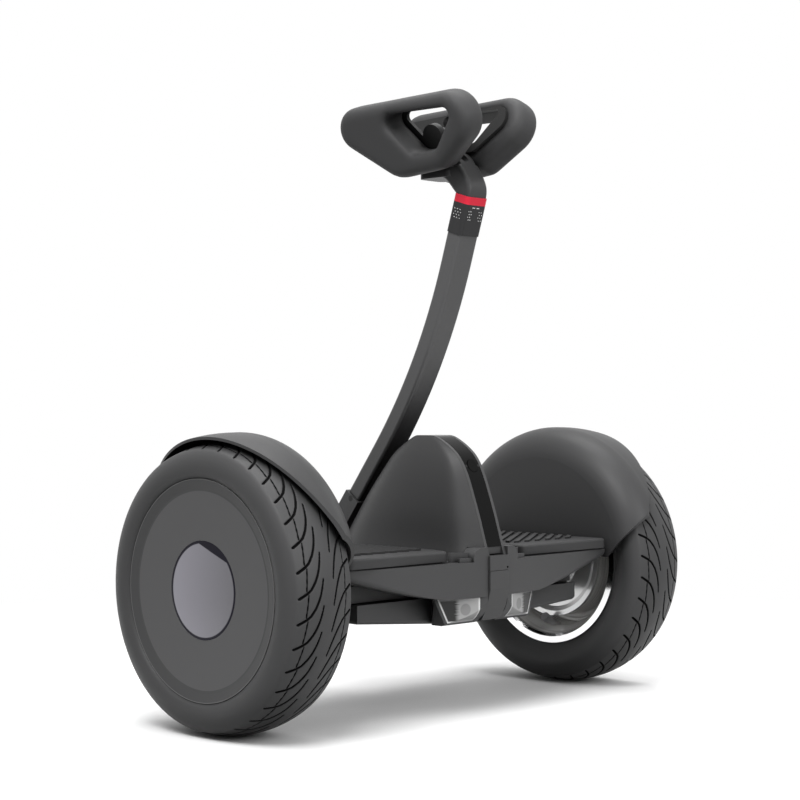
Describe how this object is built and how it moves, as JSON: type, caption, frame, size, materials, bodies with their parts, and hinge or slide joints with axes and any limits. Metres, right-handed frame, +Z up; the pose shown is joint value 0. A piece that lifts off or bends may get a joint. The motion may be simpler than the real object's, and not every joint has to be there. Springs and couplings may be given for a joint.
{
  "type": "self balancing personal transporter",
  "caption": "Self balancing personal transporter: hub motor wheels beside a standing deck, with fenders, foot mats, tail lamps and a leaning stem that carries padded knee rests.",
  "frame": {"origin": "on the ground, below the middle of the axle", "axes": "+X along the axle to the rider's right, +Y forward, +Z up"},
  "size_m": [0.548, 0.262, 0.5918],
  "materials": {
    "tyre": "matt rubber",
    "rim_metal": "polished",
    "cast_metal": "cast, dark coated",
    "steel": "satin",
    "battery_cell": "satin",
    "magnet": "satin",
    "copper_and_iron": "laminated iron and enamelled wire",
    "body_plastic": "fine texture",
    "wheel_cover_plastic": "satin",
    "hub_cap_metallic": "metallic, smooth",
    "black_plastic": "fine texture",
    "gloss_black": "gloss",
    "button_black": "satin",
    "circuit_board": "lacquered",
    "rubber_mat": "matt",
    "lamp_lens": "clear and smoked",
    "collar_grey": "satin",
    "red_plastic": "satin",
    "pad_foam": "soft skin",
    "stem_grey": "satin"
  },
  "bodies": {
    "chassis_body": {"axle_clamps": "cast_metal", "axles": "steel", "battery_case": "black_plastic", "battery_cells": "battery_cell", "centring_torsion_bar": "steel", "charge_socket": "black_plastic", "chassis": "cast_metal", "clamp_bolts": "steel", "control_board": "circuit_board", "deck_shell": "body_plastic", "display_strip": "gloss_black", "fender_left": "body_plastic", "fender_right": "body_plastic", "fender_screws": "steel", "flap_pin": "steel", "foot_mat_left": "rubber_mat", "foot_mat_right": "rubber_mat", "foot_sensors": "circuit_board", "front_housing": "body_plastic", "headlamp_lens": "lamp_lens", "hump_shell_left": "body_plastic", "hump_shell_right": "body_plastic", "lean_sensor": "circuit_board", "lean_stops": "rubber_mat", "power_switch": "black_plastic", "spine_frame": "body_plastic", "stators": "copper_and_iron", "steering_bearings": "steel", "tail_housing": "body_plastic", "tail_lamp_boards": "circuit_board", "tail_lamp_lenses": "lamp_lens"},
    "left_wheel": {"tyre_left": "tyre", "rim_left": "rim_metal", "motor_cover_left": "rim_metal", "wheel_bearings_left": "steel", "magnet_ring_left": "magnet", "wheel_cover_left": "wheel_cover_plastic", "hub_cap_left": "hub_cap_metallic", "valve_left": "black_plastic"},
    "right_wheel": {"tyre_right": "tyre", "rim_right": "rim_metal", "motor_cover_right": "rim_metal", "wheel_bearings_right": "steel", "magnet_ring_right": "magnet", "wheel_cover_right": "wheel_cover_plastic", "hub_cap_right": "hub_cap_metallic", "valve_right": "black_plastic"},
    "steering": {"steering_shaft": "steel", "steering_base": "body_plastic", "base_bolt": "steel", "stem_tube": "stem_grey", "collar": "collar_grey", "red_ring": "red_plastic", "head": "cast_metal", "pad_cores": "black_plastic", "knee_pad_left": "pad_foam", "knee_pad_right": "pad_foam", "lean_magnet": "magnet"},
    "button": {"power_button": "button_black"},
    "flap": {"charge_flap": "body_plastic"}
  },
  "joints": [
    {"name": "left_wheel_spin", "type": "hinge", "parent": "chassis_body", "child": "left_wheel", "pos_m": [-0.2366, 0, 0.131], "axis": [1, 0, 0], "continuous": true},
    {"name": "right_wheel_spin", "type": "hinge", "parent": "chassis_body", "child": "right_wheel", "pos_m": [0.2366, 0, 0.131], "axis": [1, 0, 0], "continuous": true},
    {"name": "steering_lean", "type": "hinge", "parent": "chassis_body", "child": "steering", "pos_m": [0, 0, 0.131], "axis": [0, 1, 0], "range_deg": [-15, 15], "stiffness_Nm_per_rad": 27},
    {"name": "power_button_press", "type": "slide", "parent": "chassis_body", "child": "button", "axis": [0, 0.9205, -0.3907], "range_m": [0, 0.0012], "stiffness_N_per_m": 800},
    {"name": "charge_flap_open", "type": "hinge", "parent": "chassis_body", "child": "flap", "pos_m": [0, -0.101, 0.0955], "axis": [1, 0, 0], "range_deg": [0, 95]}
  ]
}
